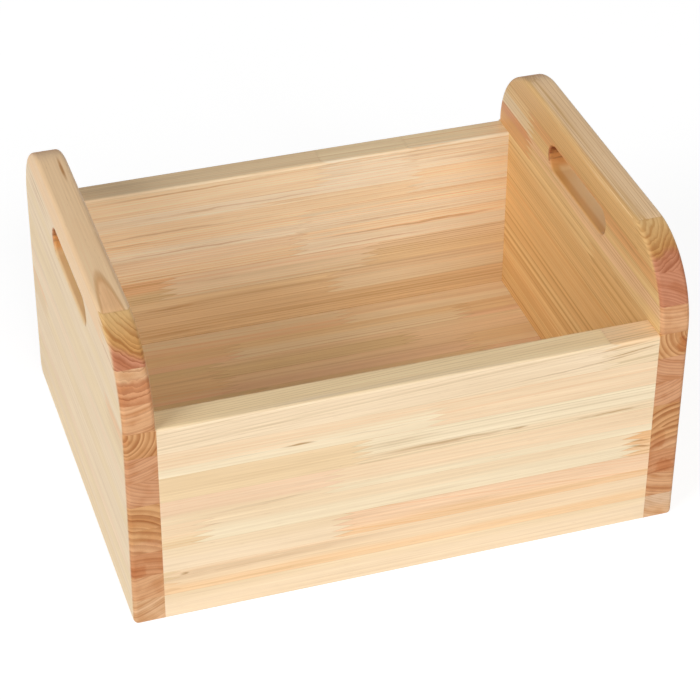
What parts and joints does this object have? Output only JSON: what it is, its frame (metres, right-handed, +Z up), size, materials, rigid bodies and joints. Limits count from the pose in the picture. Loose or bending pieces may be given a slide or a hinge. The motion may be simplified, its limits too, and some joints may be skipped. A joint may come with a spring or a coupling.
{
  "type": "picture book browser bin",
  "caption": "Low open wooden bin with tall rounded end panels, a hand slot in each, for picture books to stand in and be browsed.",
  "frame": {"origin": "middle of the underside", "axes": "+X along the length from the left end panel to the right one, -Y towards the front, +Z up"},
  "size_m": [0.36, 0.28, 0.2],
  "materials": {
    "end_panel_wood": "edge-glued softwood, grain front to back, clear satin oil",
    "board_wood": "edge-glued softwood with finger joints, grain along the length, clear satin oil",
    "floor_board_wood": "edge-glued softwood, grain along the length, clear satin oil",
    "dowel_wood": "plain beech"
  },
  "bodies": {
    "root": {"back_board_stave_01": "board_wood", "back_board_stave_02": "board_wood", "back_board_stave_03": "board_wood", "back_board_stave_04": "board_wood", "back_board_stave_05": "board_wood", "back_board_stave_06": "board_wood", "back_board_stave_07": "board_wood", "back_board_stave_08": "board_wood", "dowels_back_left": "dowel_wood", "dowels_back_right": "dowel_wood", "dowels_floor_left": "dowel_wood", "dowels_floor_right": "dowel_wood", "dowels_front_left": "dowel_wood", "dowels_front_right": "dowel_wood", "floor_board_stave_01": "floor_board_wood", "floor_board_stave_02": "floor_board_wood", "floor_board_stave_03": "floor_board_wood", "floor_board_stave_04": "floor_board_wood", "floor_board_stave_05": "floor_board_wood", "floor_board_stave_06": "floor_board_wood", "floor_board_stave_07": "floor_board_wood", "floor_board_stave_08": "floor_board_wood", "floor_board_stave_09": "floor_board_wood", "floor_board_stave_10": "floor_board_wood", "floor_board_stave_11": "floor_board_wood", "floor_board_stave_12": "floor_board_wood", "floor_board_stave_13": "floor_board_wood", "front_board_stave_01": "board_wood", "front_board_stave_02": "board_wood", "front_board_stave_03": "board_wood", "front_board_stave_04": "board_wood", "front_board_stave_05": "board_wood", "front_board_stave_06": "board_wood", "front_board_stave_07": "board_wood", "front_board_stave_08": "board_wood", "left_end_stave_01": "end_panel_wood", "left_end_stave_02": "end_panel_wood", "left_end_stave_03": "end_panel_wood", "left_end_stave_04": "end_panel_wood", "left_end_stave_05": "end_panel_wood", "left_end_stave_06": "end_panel_wood", "left_end_stave_07": "end_panel_wood", "left_end_stave_08": "end_panel_wood", "left_end_stave_09": "end_panel_wood", "left_end_stave_10": "end_panel_wood", "left_end_stave_11": "end_panel_wood", "right_end_stave_01": "end_panel_wood", "right_end_stave_02": "end_panel_wood", "right_end_stave_03": "end_panel_wood", "right_end_stave_04": "end_panel_wood", "right_end_stave_05": "end_panel_wood", "right_end_stave_06": "end_panel_wood", "right_end_stave_07": "end_panel_wood", "right_end_stave_08": "end_panel_wood", "right_end_stave_09": "end_panel_wood", "right_end_stave_10": "end_panel_wood", "right_end_stave_11": "end_panel_wood"}
  },
  "joints": []
}
